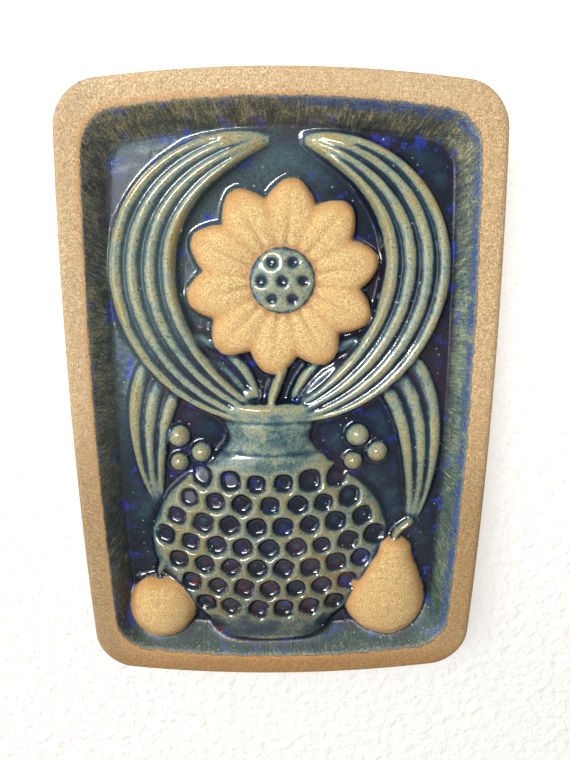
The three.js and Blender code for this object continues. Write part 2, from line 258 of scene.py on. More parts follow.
def turned(x, z, foot, tilt, outline, height_at, end_round):
    """Half of a turned form: its height, how far inside its outline each place lies, and local places."""
    half_widths, ups = spline_outline(outline)
    dx, dz = x - foot[0], z - foot[1]
    side = dx * math.cos(tilt) - dz * math.sin(tilt)
    up = dx * math.sin(tilt) + dz * math.cos(tilt)
    half = np.interp(up, ups, half_widths)
    within = np.minimum(up - ups[0], ups[-1] - up)
    inside = np.minimum(half - np.abs(side), within)
    round_across = np.sqrt(clamp01(1 - (side / half) ** 2))
    height = height_at(half) * round_across * quarter_round(within, end_round)
    return np.where(inside > 0, height, 0), inside, side, up


def fruit(x, z, foot, tilt, height, outline):
    """A fruit's height, and how far inside its outline each place lies."""
    widest = max(half for half, _ in outline)

    def height_at(half):
        return FRUIT_END_HEIGHT + (height - FRUIT_END_HEIGHT) * half / widest

    return turned(x, z, foot, tilt, outline, height_at, FRUIT_END_ROUND)[:2]


def vase_height(half):
    halves = [w for w, _ in VASE_OUTLINE]
    share = clamp01((half - min(halves)) / (max(halves) - min(halves)))
    return VASE_NECK_HEIGHT + (VASE_BELLY_HEIGHT - VASE_NECK_HEIGHT) * share


def vase(x, z):
    """The vase's height, less its pits and grooves, and how far inside its outline each place lies."""
    height, inside, side, up = turned(x, z, VASE_FOOT, 0, VASE_OUTLINE, vase_height, VASE_END_ROUND)
    widths, ups = spline_outline(VASE_OUTLINE)
    widest, middle = max(VASE_OUTLINE)
    row_pitch = PIT_PITCH * math.sin(math.pi / 3)
    rows = math.ceil(middle / row_pitch)
    columns = math.ceil(widest / PIT_PITCH)
    rng = np.random.default_rng(7)
    for row in range(-rows, rows + 1):
        for column in range(-columns, columns + 1):
            px = (column + 0.5 * abs(row % 2)) * PIT_PITCH
            flat = middle + row * row_pitch
            pz = flat + PIT_ROW_SAG * (px / widest) ** 2
            room = np.interp(pz, ups, widths) - PIT_RADIUS - PIT_FROM_EDGE
            shift = rng.normal(0, PIT_SHIFT, 2)
            radius = PIT_RADIUS * rng.normal(1, PIT_SWELL)
            turn = rng.uniform(0, math.pi / 2)
            if not PIT_ROWS[0] <= flat <= PIT_ROWS[1] or abs(px) > room:
                continue
            across = side - px - shift[0]
            above = up - pz - shift[1]
            u = np.abs(across * math.cos(turn) + above * math.sin(turn))
            v = np.abs(above * math.cos(turn) - across * math.sin(turn))
            away = (u**PIT_SQUARENESS + v**PIT_SQUARENESS) ** (1 / PIT_SQUARENESS) / radius
            height = height - PIT_DEPTH * pit(away, PIT_STEEPNESS)
    for groove_up in NECK_GROOVES:
        height = height - NECK_GROOVE_DEPTH * groove(up - groove_up, NECK_GROOVE_WIDTH) * (inside > 0)
    return np.maximum(height, 0), inside


def petal_ring(dx, dz):
    """The petals' height, and how far inside the nearest of them each place lies."""
    height, inside = np.zeros(len(dx)), np.full(len(dx), FAR_OUTSIDE)
    for k in range(PETALS):
        turn = 2 * math.pi * (k + 1) / PETALS + FLOWER_TURN
        out = dx * math.cos(turn) + dz * math.sin(turn)
        side = -dx * math.sin(turn) + dz * math.cos(turn)
        along = (out - PETAL_START) / (FLOWER_RADIUS - PETAL_START)
        half = PETAL_HALF_WIDTH * np.sin(math.pi * np.clip(0.12 + 0.88 * along, 0.02, 0.999)) ** 0.6
        across = np.abs(side) / half
        in_petal = np.minimum(half - np.abs(side), (1 - along) * PETAL_END_SLOPE)
        in_petal = np.where(along > -0.4, in_petal, FAR_OUTSIDE)
        arch = PETAL_HEIGHT - PETAL_DROOP * 4 * (along - 0.45) ** 2
        body = arch * (0.56 + 0.44 * np.sqrt(clamp01(1 - across**2)))
        vein = groove(side, PETAL_VEIN_WIDTH) * clamp01(1.1 - along) * (in_petal > 0)
        height = np.maximum(height, body * quarter_round(in_petal, PETAL_EDGE_ROUND) - vein)
        inside = np.maximum(inside, in_petal)
    return height, inside


def flower_heart(dx, dz):
    """The height of the domed, dimpled heart that sits on the petals."""
    radius = np.hypot(dx, dz)
    dome = np.sqrt(clamp01(1 - 0.5 * (radius / HEART_RADIUS) ** 2))
    height = HEART_HEIGHT * dome * quarter_round(HEART_RADIUS - radius, HEART_EDGE_ROUND)
    places = [(0, 0)]
    for k in range(HEART_PITS):
        angle = 2 * math.pi * (k + 1) / HEART_PITS
        places.append((HEART_PIT_RING * math.cos(angle), HEART_PIT_RING * math.sin(angle)))
    for px, pz in places:
        away = np.hypot(dx - px, dz - pz) / HEART_PIT_RADIUS
        height = height - HEART_PIT_DEPTH * pit(away, HEART_PIT_STEEPNESS)
    return np.maximum(height, 0)


def relief(x, z, dish):
    """The relief joined to the dish: its height above the field at each place.

    Also how far inside the bare clay, and how far inside the vase, each place lies.
    """
    glazed = dish
    for shape in LEAVES:
        glazed = smooth_max(glazed, leaf(x, z, **shape), MELT)
    for shape in STALKS:
        glazed = smooth_max(glazed, stalk(x, z, **shape), MELT)
    for bx, bz, radius in BERRIES:
        away = np.hypot(x - bx, z - bz)
        ball = (BERRY_SEAT + radius) * np.sqrt(clamp01(1 - (away / (radius + BERRY_SPREAD)) ** 2))
        glazed = smooth_max(glazed, ball, SMALL_MELT)
    vase_shape, in_vase = vase(x, z)
    glazed = smooth_max(glazed, vase_shape, MELT)
    from_flower = (x - FLOWER_CENTRE[0], z - FLOWER_CENTRE[1])
    glazed = smooth_max(glazed, flower_heart(*from_flower), HEART_MELT)
    height, bare = glazed, np.full(len(x), FAR_OUTSIDE)
    for form, inside in (petal_ring(*from_flower), fruit(x, z, **PEAR), fruit(x, z, **PLUM)):
        over_glaze = (form - glazed) * 1.5
        bare = np.maximum(bare, np.minimum(inside - GLAZE_CREEP, over_glaze))
        height = smooth_max(height, form, SMALL_MELT)
    return height, bare, in_vase


def arc_points(x, z, radius, angles):
    return np.stack([x + radius * np.cos(angles), z + radius * np.sin(angles)], -1)


def ring(inset_x, inset_z, radius):
    """Points of a bowed, rounded rectangle: a corner's arc, then the side after it, four times."""
    a = WIDTH / 2 - inset_x - SIDE_BOW
    b = HEIGHT / 2 - inset_z - END_BOW
    points = []
    corners = [(1, 1), (-1, 1), (-1, -1), (1, -1)]
    for c, (sx, sz) in enumerate(corners):
        angles = math.pi / 2 * (c + np.linspace(0, 1, CORNER_STEPS + 1))
        arc = arc_points(sx * (a - radius), sz * (b - radius), radius, angles)
        next_x, next_z = corners[(c + 1) % 4]
        end = arc_points(next_x * (a - radius), next_z * (b - radius), radius, angles[-1])
        steps = ROWS if c % 2 else COLUMNS
        share = np.linspace(0, 1, steps + 1)[1:-1, None]
        points += [arc, arc[-1] + (end - arc[-1]) * share]
    p = np.vstack(points)
    x = p[:, 0] + SIDE_BOW * (p[:, 0] / a) * (1 - (p[:, 1] / b) ** 2)
    z = p[:, 1] + END_BOW * (p[:, 1] / b) * (1 - (p[:, 0] / a) ** 2)
    return x, z


def field_grid(inset_x, inset_z):
    """A grid whose edge is the ring of that inset with no corner radius: rows of x and z."""
    a = WIDTH / 2 - inset_x - SIDE_BOW
    b = HEIGHT / 2 - inset_z - END_BOW
    s, t = np.meshgrid(np.linspace(-1, 1, COLUMNS + 1), np.linspace(-1, 1, ROWS + 1))
    return s * (a + SIDE_BOW * (1 - t**2)), t * (b + END_BOW * (1 - s**2))


def grid_border():
    """Indices into the grid of the ring that goes round it, each corner once for every arc point."""
    wide = COLUMNS + 1
    corner = {(1, 1): ROWS * wide + COLUMNS, (-1, 1): ROWS * wide, (-1, -1): 0, (1, -1): COLUMNS}
    top = [ROWS * wide + c for c in range(COLUMNS - 1, 0, -1)]
    left = [r * wide for r in range(ROWS - 1, 0, -1)]
    bottom = list(range(1, COLUMNS))
    right = [r * wide + COLUMNS for r in range(1, ROWS)]
    border = []
    for place, side in (((1, 1), top), ((-1, 1), left), ((-1, -1), bottom), ((1, -1), right)):
        border += [corner[place]] * (CORNER_STEPS + 1) + side
    return np.array(border)


def outside_stations():
    """Rings from the hollow's floor round the foot to the rim's flat: inset, corner radius and y."""
    hollow = FOOT_INNER_INSET
    rings = [
        (hollow + HOLLOW_DRAFT + 0.9, HOLLOW_CORNER_RADIUS, -HOLLOW_DEPTH),
        (hollow + HOLLOW_DRAFT, HOLLOW_CORNER_RADIUS, -HOLLOW_DEPTH + 0.7),
        (hollow + 0.3, HOLLOW_CORNER_RADIUS, -1.0),
        (hollow, HOLLOW_CORNER_RADIUS, -0.35),
        (hollow - 0.5, HOLLOW_CORNER_RADIUS, 0),
        (OUTER_TAPER + 1.4, CORNER_RADIUS, 0),
        (OUTER_TAPER + 0.6, CORNER_RADIUS, -0.25),
        (OUTER_TAPER, CORNER_RADIUS, -1.0),
        (OUTER_TAPER * 0.66, CORNER_RADIUS, -8.5),
        (OUTER_TAPER * 0.33, CORNER_RADIUS, -16),
    ]
    for angle in np.linspace(0, math.pi / 2, 6):
        inset = RIM_SHOULDER * (1 - math.cos(angle))
        back = RIM_SHOULDER * (1 - math.sin(angle))
        rings.append((inset, CORNER_RADIUS, back - DEPTH))
    rings += [(4.6, CORNER_RADIUS - 0.5, -DEPTH), (6.6, CORNER_RADIUS - 1, -DEPTH)]
    return [(inset, inset, radius, y, PLENTY_BARE) for inset, radius, y in rings]


def inside_stations():
    """Rings from the rim's flat down the inner wall: insets, corner radius, y, and clay in millimetres."""
    rings = []
    for share in WALL_SHARES:
        fall = FIELD_DEPTH * (1 - share) / (1 - WALL_STARTS)
        height = -smooth_max(-fall, -FIELD_DEPTH, RIM_MELT)
        height = smooth_max(height, 0, WALL_FOOT_MELT)
        inset_x = RIM_TOP_INSET + share * (SIDE_FIELD_INSET - RIM_TOP_INSET)
        inset_z = RIM_TOP_INSET + share * (END_FIELD_INSET - RIM_TOP_INSET)
        inward = min(share, 1)
        radius = (CORNER_RADIUS - 1.5) * (1 - inward) + FIELD_CORNER_RADIUS * inward
        rings.append((inset_x, inset_z, radius, FIELD_Y - height, (GLAZE_STARTS - share) * MM_PER_SHARE))
    for share in (0.25, 0.5, 0.75):
        inset_x = SIDE_FIELD_INSET + 0.5 + share * CORNER_STRIP
        inset_z = END_FIELD_INSET + 0.7 + share * CORNER_STRIP
        rings.append((inset_x, inset_z, FIELD_CORNER_RADIUS * (1 - share), FIELD_Y, FAR_OUTSIDE))
    return rings


def smoothed(values, edges, rounds):
    """Values averaged with their neighbours' over and over: each round spreads them about one cell."""
    a, b = edges[:, 0], edges[:, 1]
    count = np.bincount(a, minlength=len(values)) + np.bincount(b, minlength=len(values))
    for _ in range(rounds):
        total = np.bincount(a, values[b], len(values)) + np.bincount(b, values[a], len(values))
        values = (values + total / count) / 2
    return values


def cut_notch(rings):
    """Lifts the hollow's rings over the nail's notch, which is cut up into the foot's upper bar."""
    centre = HEIGHT / 2 - FOOT_INNER_INSET - HOLLOW_DRAFT
    for i in range(HOLLOW_RINGS):
        x, z = rings[i]
        reach = NAIL_NOTCH_RADIUS + (0.3 if i == HOLLOW_RINGS - 1 else 0)
        under = (np.abs(x) < reach) & (z > 0)
        raised = centre + np.sqrt(np.maximum(reach**2 - x**2, 0))
        rings[i] = (x, np.where(under, np.maximum(z, raised), z))


def skin(per_ring, first_grid):
    """Quads: a strip from each ring to the next, the strip that meets the grid, and the grid."""
    here = np.arange(per_ring)
    after = (here + 1) % per_ring
    last = first_grid - per_ring
    quads = []
    for low in range(0, last, per_ring):
        high = low + per_ring
        quads.append(np.stack([low + here, low + after, high + after, high + here], 1))
    border = first_grid + grid_border()
    quads.append(np.stack([last + here, last + after, border[after], border[here]], 1))
    wide = COLUMNS + 1
    cell = (np.arange(ROWS)[:, None] * wide + np.arange(COLUMNS)[None, :]).ravel() + first_grid
    quads.append(np.stack([cell, cell + wide, cell + wide + 1, cell + 1], 1)[:, ::-1])
    return np.vstack(quads)


def dress_front(x, z, y, bare, quads, first_front):
    """Gives the wall and the field their relief: the new y, and the values that the material reads."""
    front = np.arange(len(x)) >= first_front
    dish = np.where(front, FIELD_Y - y, 0)
    height = dish.copy()
    in_vase = np.full(len(x), FAR_OUTSIDE)
    height[front], relief_bare, in_vase[front] = relief(x[front], z[front], dish[front])
    bare[front] = np.maximum(bare[front], relief_bare)

    edges = np.vstack([quads[:, [0, 1]], quads[:, [1, 2]]])
    edges = edges[edges[:, 0] != edges[:, 1]]
    edges = edges[edges.min(axis=1) >= first_front]
    used = np.unique(edges)
    place_in_used = np.full(len(x), -1)
    place_in_used[used] = np.arange(len(used))
    edges = place_in_used[edges]

    # The ridge is how far a place stands above its near neighbours, the sink how far it lies below
    # its wider surroundings, and the wall is 1 on the dish's inner wall where no form stands
    shape = smoothed(height[used], edges, 3)
    fine = smoothed(shape, edges, 20)
    broad = smoothed(fine, edges, 180)
    ridge, sink, wall = np.zeros(len(x)), np.zeros(len(x)), np.zeros(len(x))
    ridge[used] = shape - fine
    sink[used] = broad - shape
    on_dish = clamp01(1 - (shape - dish[used]) / 1.5)
    wall[used] = smoothed(clamp01(dish[used] / 2.5) * on_dish, edges, 2)
    height[used] = np.minimum(shape, FIELD_DEPTH)
    bare[used] = smoothed(bare[used], edges, 1)
    values = {
        "bare": np.clip(bare, -PLENTY_BARE, PLENTY_BARE),
        "ridge": ridge,
        "sink": sink,
        "wall": wall,
        "rise": np.where(front, height, FIELD_DEPTH),
        "in_vase": np.clip(in_vase, -PLENTY_BARE, PLENTY_BARE),
    }
    return np.where(front, FIELD_Y - height, y), values


def build_plate():
    stations = outside_stations()
    outside_rings = len(stations)
    stations += inside_stations()
    rings = [ring(inset_x, inset_z, radius) for inset_x, inset_z, radius, _, _ in stations]
    cut_notch(rings)
    per_ring = len(rings[0][0])
    grid_x, grid_z = field_grid(SIDE_FIELD_INSET + GRID_INSET, END_FIELD_INSET + GRID_INSET)
    x = np.concatenate([*(r[0] for r in rings), grid_x.ravel()])
    z = np.concatenate([*(r[1] for r in rings), grid_z.ravel()])
    y_of_rings = np.repeat([y for _, _, _, y, _ in stations], per_ring)
    y = np.concatenate([y_of_rings, np.full(grid_x.size, FIELD_Y)])
    bare_of_rings = np.repeat([bare for *_, bare in stations], per_ring)
    bare = np.concatenate([bare_of_rings, np.full(grid_x.size, FAR_OUTSIDE)])

    quads = skin(per_ring, per_ring * len(stations))
    y, values = dress_front(x, z, y, bare, quads, per_ring * outside_rings)

    points = np.stack([x, y, z - HANG_HEIGHT], 1) * MM
    faces = [tuple(dict.fromkeys(quad)) for quad in quads.tolist()]
    hollow_floor = tuple(range(per_ring - 1, -1, -1))
    mesh = bpy.data.meshes.new("wall_plate_glazed")
    mesh.from_pydata(points.tolist(), [], [f for f in faces if len(f) > 2] + [hollow_floor])
    mesh.validate()
    for name, per_point in values.items():
        attribute = mesh.attributes.new(name, "FLOAT", "POINT")
        attribute.data.foreach_set("value", per_point.astype(np.float32))
    mesh.polygons.foreach_set("use_smooth", np.ones(len(mesh.polygons), bool))
    plate = bpy.data.objects.new("wall_plate_glazed", mesh)
    bpy.context.collection.objects.link(plate)
    return plate


plate = build_plate()


class Nodes:
    """A short way to build one material's node tree."""

    def __init__(self, name):
        self.material = bpy.data.materials.new(name)
        self.material.use_nodes = True
        self.tree = self.material.node_tree
        self.tree.nodes.clear()

    def add(self, kind, **inputs):
        node = self.tree.nodes.new(kind)
        for key, value in inputs.items():
            self.put(node, key, value)
        return node

    def put(self, node, key, value):
        """Sets or links the input of that name, or of that number when the key is i0, i1 and so on."""
        by_number = key[0] == "i" and key[1:].isdigit()
        socket = node.inputs[int(key[1:]) if by_number else key.replace("_", " ")]
        if isinstance(value, bpy.types.NodeSocket):
            self.tree.links.new(value, socket)
        else:
            socket.default_value = value

    def finished(self, shader):
        out = self.add("ShaderNodeOutputMaterial")
        self.tree.links.new(shader.outputs[0], out.inputs["Surface"])
        return self.material

    def attribute(self, name):
        node = self.tree.nodes.new("ShaderNodeAttribute")
        node.attribute_name = name
        return node.outputs["Fac"]

    def math(self, operation, a, b=0.0, clamp=False):
        node = self.tree.nodes.new("ShaderNodeMath")
        node.operation = operation
        node.use_clamp = clamp
        self.put(node, "i0", a)
        self.put(node, "i1", b)
        return node.outputs[0]

    def vector(self, operation, a, b):
        node = self.tree.nodes.new("ShaderNodeVectorMath")
        node.operation = operation
        self.put(node, "i0", a)
        self.put(node, "i1", b)
        return node.outputs[0]

    def noise(self, vector, scale, detail=2.0, roughness=0.5):
        node = self.add("ShaderNodeTexNoise", Vector=vector, Scale=scale, Detail=detail)
        self.put(node, "Roughness", roughness)
        return node.outputs["Fac"]

    def ramp(self, factor, stops):
        node = self.add("ShaderNodeValToRGB", Fac=factor)
        while len(node.color_ramp.elements) < len(stops):
            node.color_ramp.elements.new(1.0)
        for element, (place, colour) in zip(node.color_ramp.elements, stops):
            element.position = place
            element.color = (*colour, 1)
        return node.outputs["Color"]

    def band(self, value, low, high):
        """0 at low and 1 at high, smoothly between them."""
        node = self.tree.nodes.new("ShaderNodeMapRange")
        node.interpolation_type = "SMOOTHSTEP"
        self.put(node, "Value", value)
        self.put(node, "From Min", low)
        self.put(node, "From Max", high)
        return node.outputs["Result"]

    def mix(self, factor, a, b, blend="MIX"):
        node = self.tree.nodes.new("ShaderNodeMix")
        node.data_type = "RGBA"
        node.blend_type = blend
        for socket, value in zip((node.inputs[0], node.inputs[6], node.inputs[7]), (factor, a, b)):
            if isinstance(value, bpy.types.NodeSocket):
                self.tree.links.new(value, socket)
            else:
                socket.default_value = value if socket.type == "VALUE" else (*value, 1)
        return node.outputs[2]


def srgb(r, g, b):
    """A colour as a screen shows it, 0 to 255, in Blender's linear values."""
    def linear(c):
        c /= 255
        return c / 12.92 if c <= 0.04045 else ((c + 0.055) / 1.055) ** 2.4
    return (linear(r), linear(g), linear(b))


class Stoneware(Nodes):
    """The one fired surface: bare sandy clay, and a running glaze whose colour follows how thick it lies.

    The heights and widths between which a tint comes in are in metres from the origin.
    """

    def __init__(self):
        super().__init__("glazed_stoneware")
        self.place = self.add("ShaderNodeTexCoord").outputs["Object"]
        self.ridge = self.attribute("ridge")
        self.sink = self.attribute("sink")
        self.wall = self.attribute("wall")
        self.rise = self.attribute("rise")
        axes = self.add("ShaderNodeSeparateXYZ", Vector=self.place).outputs
        self.right, self.up = axes["X"], axes["Z"]
        # Below 0 in the plate's upper left and above 0 in its lower right, with a wavy border between
        from_middle = self.total(self.up, MIDDLE_BELOW_ORIGIN)
        self.across = self.total(self.right, self.times(from_middle, -0.6), self.swing(30, 0.04))
        self.upper_left = self.band(self.across, -0.02, -0.07)
        in_vase = self.band(self.attribute("in_vase"), 2.0, 3.5)
        self.dimples = self.times(self.band(self.sink, 0.8, 1.8), in_vase)
        # The border between glaze and bare clay wanders a little
        border = self.attribute("bare")
        self.edge = self.total(border, self.swing(260, 1.7, 3), self.swing(1500, 1.5))
        self.clay = self.band(self.edge, -0.25, 0.25)
        self.grain = self.noise(self.place, 1400, 2, 0.6)
        self.fine_grain = self.noise(self.place, 2800, 2, 0.7)
        # Brush strokes and runs all point at the plate's middle: noises drawn out that way
        outward = self.vector("ADD", self.place, (0, 0, MIDDLE_BELOW_ORIGIN))
        outward = self.vector("NORMALIZE", self.vector("MULTIPLY", outward, (1, 0, 1)), (0, 0, 0))
        outward = self.scaled(outward, 0.09)
        self.runs = self.noise(self.vector("ADD", outward, self.scaled(self.place, 0.16)), 1000, 3, 0.7)
        self.strokes = self.noise(self.vector("ADD", outward, self.scaled(self.place, 0.22)), 1100, 2, 0.6)

    def total(self, first, *others):
        for other in others:
            first = self.math("ADD", first, other)
        return first

    def times(self, first, *others):
        for other in others:
            first = self.math("MULTIPLY", first, other)
        return first

    def scaled(self, vector, by):
        return self.vector("MULTIPLY", vector, (by, by, by))

    def centred(self, noise, amount):
        """A noise turned into plus or minus half an amount."""
        return self.times(self.math("SUBTRACT", noise, 0.5), amount)

    def swing(self, scale, amount, detail=2, roughness=0.5):
        return self.centred(self.noise(self.place, scale, detail, roughness), amount)

    def spots(self, scale, detail, low, high, roughness=0.5):
        """1 where a noise over the plate is above high, and 0 where it is below low."""
        return self.band(self.noise(self.place, scale, detail, roughness), low, high)

    def less(self, start, by, where):
        """A value that is less by so much where a mask is 1."""
        return self.total(start, self.times(where, -by))

    def tinted(self, where, colour, tint):
        """A colour multiplied by a tint where a mask is 1."""
        return self.mix(where, colour, self.mix(1.0, colour, tint, "MULTIPLY"))

    def clay_colour(self):
        """Sandy, toasted orange beside the glaze, and browner and darker towards the plate's lower edge,
        partly the clay's colour and partly painted shade.
        """
        colour = self.ramp(self.total(self.grain, self.centred(self.fine_grain, 1.3)), [
            (0.12, srgb(138, 106, 72)),
            (0.4, srgb(180, 149, 107)),
            (0.6, srgb(200, 172, 130)),
            (0.88, srgb(236, 215, 180)),
        ])
        blotches = self.times(self.spots(45, 3, 0.4, 0.7), 0.4)
        colour = self.mix(blotches, colour, srgb(184, 150, 106))
        # Browner and darker along the lower edge: partly the clay's own colour, partly painted shade
        colour = self.tinted(self.band(self.up, -0.208, -0.219), colour, srgb(236, 214, 178))
        # Painted shade on the rim's left side, and a warmer tint on its right
        colour = self.tinted(self.band(self.right, -0.055, -0.072), colour, srgb(240, 238, 236))
        colour = self.tinted(self.band(self.right, 0.055, 0.072), colour, srgb(249, 244, 233))
        # The forms inside the rim are more golden than it. Lower down the colour is browner and darker,
        # partly the clay's own and partly painted shade, and the forms inside get less of it
        inside = self.band(self.rise, 11.9, 11.4)
        low_down = self.times(self.band(self.up, -0.095, -0.155), self.less(1.0, 0.6, inside))
        colour = self.tinted(low_down, colour, srgb(213, 205, 187))
        colour = self.tinted(inside, colour, (1.12, 1.08, 0.83))
        # Toasted beside the glaze, and less so on the rim's right
        beside = self.times(self.band(self.edge, 5.5, 0.5), self.total(0.4, self.times(inside, 0.25)))
        close_by = self.times(self.band(self.edge, 1.7, 0.0), self.spots(70, 3, 0.35, 0.65), 0.35)
        rim_right = self.times(self.band(self.right, 0.0, 0.06), self.less(1.0, 1.0, inside))
        toast = self.times(self.total(beside, close_by), self.less(1.0, 0.7, rim_right))
        colour = self.mix(toast, colour, srgb(180, 126, 62))
        # Painted shade: darker brown in the hollows of the bare forms
        hollow_shade = self.times(self.band(self.ridge, -0.02, -0.3), 0.5)
        colour = self.mix(hollow_shade, colour, srgb(150, 104, 60))
        specks = self.times(self.spots(1250, 1, 0.71, 0.75), 0.55)
        colour = self.mix(specks, colour, srgb(104, 74, 46))
        # A few touches of the blue glaze, smeared on the rim's outer edge at its upper left
        smear = self.spots(420, 3, 0.6, 0.66, roughness=0.6)
        to_corner = self.total(self.times(self.right, -0.6), self.up)
        at_corner = self.times(self.band(to_corner, 0.035, 0.052), 0.6)
        return self.mix(self.times(smear, at_corner), colour, srgb(52, 76, 150))

    def depth(self):
        """How thick the glaze lies, 0 to 1: thin on ridges, thick in hollows and low on the field."""
        low_ground = self.times(self.band(self.rise, 3.0, 0.2), 0.34)
        lie = self.total(
            self.times(self.math("MAXIMUM", self.sink, 0.0), 0.13),
            self.times(self.math("MINIMUM", self.sink, 0.0), 0.03),
            self.times(self.band(self.ridge, 0.0, 0.5), -0.25),
            self.times(self.band(self.ridge, 0.05, -0.5), 0.4),
            self.times(self.dimples, 0.2),
        )
        shape = self.total(0.46, lie, low_ground)
        mottling = self.total(self.swing(42, 0.6), self.swing(170, 0.5, 3), self.swing(520, 0.55, 4, 0.75))
        return self.math("ADD", shape, mottling, clamp=True)

    def field_colour(self, depth):
        """Olive where it is thin, blue green where it lies and navy where it pools.

        In the plate's upper left it is paler where it lies thick, a painted reflection of the bright room,
        and it is darker and then browner low down.
        """
        colour = self.ramp(depth, [
            (0.0, srgb(156, 139, 92)),
            (0.14, srgb(152, 148, 114)),
            (0.28, srgb(136, 146, 126)),
            (0.42, srgb(98, 120, 114)),
            (0.56, srgb(56, 80, 88)),
            (0.74, srgb(31, 50, 66)),
            (1.0, srgb(15, 24, 40)),
        ])
        # Painted reflection: a pale grey blue veil over the thick glaze in the upper left
        painted_veil = self.times(self.upper_left, self.band(depth, 0.45, 0.7), 0.45)
        colour = self.mix(painted_veil, colour, srgb(92, 112, 112))
        colour = self.tinted(self.band(self.up, -0.115, -0.145), colour, srgb(212, 215, 217))
        return self.tinted(self.band(self.up, -0.16, -0.195), colour, srgb(222, 211, 204))

    def wall_colour(self):
        """The inner wall: brown olive above and on the left, grey green on the right and below, partly the
        glaze's colour and partly painted light.
        """
        streaks = self.total(self.centred(self.runs, 1.2), self.centred(self.strokes, 0.9))
        grains = self.total(self.centred(self.grain, 0.7), self.centred(self.fine_grain, 0.8))
        clouds = self.total(self.swing(60, 0.7), self.swing(250, 0.7, 3))
        # Slightly lighter in the upper left: a painted reflection, like the veil on the field
        light = self.total(0.5, streaks, grains, clouds, self.times(self.upper_left, 0.04))
        warm = self.ramp(light, [
            (0.1, srgb(45, 48, 44)),
            (0.5, srgb(90, 89, 72)),
            (0.9, srgb(159, 146, 105)),
        ])
        cool = self.ramp(light, [
            (0.1, srgb(50, 72, 80)),
            (0.5, srgb(103, 121, 107)),
            (0.9, srgb(160, 166, 130)),
        ])
        # Partly painted light: the darker, warmer ramp stands in for shade above and on the left, the
        # lighter, bluer one for a bluish reflection on the right and below
        colour = self.mix(self.band(self.across, -0.025, 0.055), warm, cool)
        colour = self.tinted(self.band(self.right, -0.054, -0.066), colour, (0.86, 0.98, 1.28))
        # Painted shade: darker over the lower half, and darker still, with fewer light streaks, on the
        # bottom wall
        colour = self.tinted(self.band(self.up, -0.09, -0.15), colour, srgb(180, 190, 194))
        at_bottom = self.band(self.up, -0.18, -0.2)
        colour = self.tinted(at_bottom, colour, srgb(122, 172, 174))
        dry = self.times(self.band(self.strokes, 0.6, 0.7), self.band(self.swing(90, 1.0), -0.1, 0.1))
        dry = self.times(dry, self.less(0.65, 0.35, at_bottom))
        colour = self.mix(dry, colour, srgb(186, 178, 132))
        foot = self.total(self.rise, self.swing(120, 3.0, 3), self.centred(self.runs, 4.0))
        pooled = self.times(self.band(foot, 3.6, 0.4), self.less(0.9, 0.6, self.upper_left))
        return self.mix(pooled, colour, srgb(18, 26, 50))

    def with_cobalt(self, colour):
        """Patches where the glaze has pooled, and a broken line under the rim, at the top and the right."""
        cloud = self.noise(self.place, 130, 5, 0.7)
        under_rim = self.times(self.band(self.edge, -5.5, -0.8), 0.4)
        in_pools = self.times(self.band(self.sink, 0.5, 2.2), 0.6)
        patches = self.times(self.band(cloud, 0.55, 0.62), self.math("MAXIMUM", under_rim, in_pools))
        colour = self.mix(patches, colour, srgb(42, 60, 172))
        on_top = self.times(self.band(self.up, -0.03, -0.005), 0.04)
        on_right = self.band(self.total(self.right, self.swing(40, 0.03), on_top), 0.035, 0.055)
        on_right = self.times(on_right, self.band(self.up, -0.21, -0.19), self.wall)
        broken = self.band(self.total(cloud, self.centred(self.runs, 0.3)), 0.37, 0.51)
        line = self.times(self.band(self.edge, -4.3, -2.0), on_right, broken, 0.85)
        return self.mix(line, colour, srgb(44, 74, 128))

    def with_reds(self, colour, depth):
        """A plum tinge on some of the deep ground, and crimson veins in some of the dimples."""
        plum = self.times(self.spots(35, 2, 0.5, 0.62), self.band(depth, 0.6, 0.9))
        plum = self.times(plum, self.less(0.34, 0.22, self.dimples))
        colour = self.mix(plum, colour, srgb(58, 34, 50))
        streaked = self.vector("MULTIPLY", self.place, (0.6, 1.0, 1.5))
        veins = self.band(self.noise(streaked, 330, 3, 0.6), 0.48, 0.6)
        in_some = self.times(self.spots(90, 1, 0.5, 0.56), self.dimples)
        low_down = self.total(0.3, self.times(self.band(self.up, -0.14, -0.18), 0.45))
        return self.mix(self.times(veins, in_some, low_down), colour, srgb(112, 24, 36))

    def with_grain(self, colour, depth):
        """Sand that shows through, dark and light specks, and pale dots that are painted highlights, like
        pinholes catching the light.
        """
        sandy = self.total(0.55, self.centred(self.grain, 1.6), self.centred(self.fine_grain, 1.6))
        shade = self.ramp(sandy, [
            (0.0, (0.45, 0.45, 0.47)),
            (0.5, (0.88, 0.88, 0.88)),
            (1.0, (1.1, 1.1, 1.08)),
        ])
        colour = self.mix(1.0, colour, shade, "MULTIPLY")
        dark = self.times(self.spots(1300, 2, 0.58, 0.68), 0.6)
        colour = self.mix(dark, colour, srgb(40, 38, 28))
        light = self.times(self.spots(1700, 2, 0.6, 0.7), self.band(depth, 0.6, 0.25), 0.55)
        colour = self.mix(light, colour, srgb(188, 172, 118))
        # A few painted highlights to a square centimetre, where the glaze lies thick, as if pinholes caught
        # the light
        cells = self.add("ShaderNodeTexVoronoi", Vector=self.place, Scale=330.0).outputs["Distance"]
        where_thick = self.times(self.spots(60, 3, 0.4, 0.6), self.band(depth, 0.4, 0.7))
        pinhole_highlights = self.times(self.band(cells, 0.13, 0.08), where_thick, 0.5)
        return self.mix(pinhole_highlights, colour, srgb(206, 212, 214))

    def glaze_colour(self):
        depth = self.depth()
        colour = self.with_cobalt(self.mix(self.wall, self.field_colour(depth), self.wall_colour()))
        thin_edge = self.times(self.band(self.edge, -1.3, -0.3), 0.5)
        colour = self.mix(thin_edge, colour, srgb(124, 126, 112))
        return self.with_grain(self.with_reds(colour, depth), depth)

